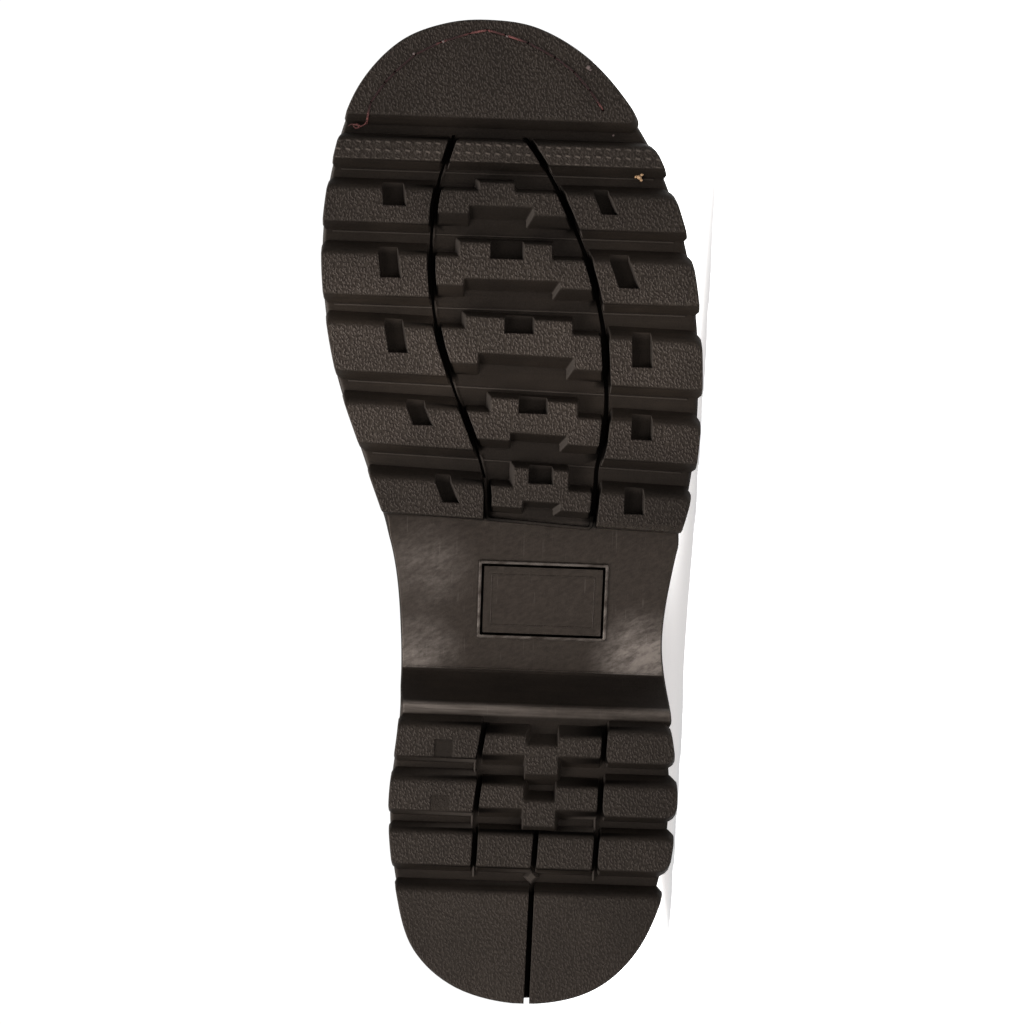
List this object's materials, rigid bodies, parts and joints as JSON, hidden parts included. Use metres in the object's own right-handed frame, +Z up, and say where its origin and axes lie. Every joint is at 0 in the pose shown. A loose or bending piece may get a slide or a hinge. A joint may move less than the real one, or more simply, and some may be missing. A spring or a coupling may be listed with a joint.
{
  "type": "pull-on work boot",
  "caption": "Left pull-on work boot lying on its outer side: hollow leather foot and shaft, stitched welt, and a moulded lug sole with heel, arch and toe spring.",
  "frame": {"origin": "on the floor under the centre of the boot's bounding box, as it lies on its outer side", "axes": "+X from heel to toe, +Y from the sole to the collar, +Z up from the floor"},
  "size_m": [0.304, 0.3074, 0.1207],
  "materials": {
    "rubber": "matte moulded",
    "welt leather": "edge dressed",
    "footbed": "unfinished",
    "shaft leather": "oiled",
    "vamp leather": "oiled",
    "counter leather": "oiled",
    "strap medial": "matte",
    "strap lateral": "matte"
  },
  "bodies": {
    "root": {"outsole": "rubber", "welt": "welt leather", "insole": "footbed", "upper": "shaft leather", "vamp_overlay": "vamp leather", "counter_overlay": "counter leather", "pull_loop_medial": "strap medial", "pull_loop_lateral": "strap lateral"}
  },
  "joints": []
}
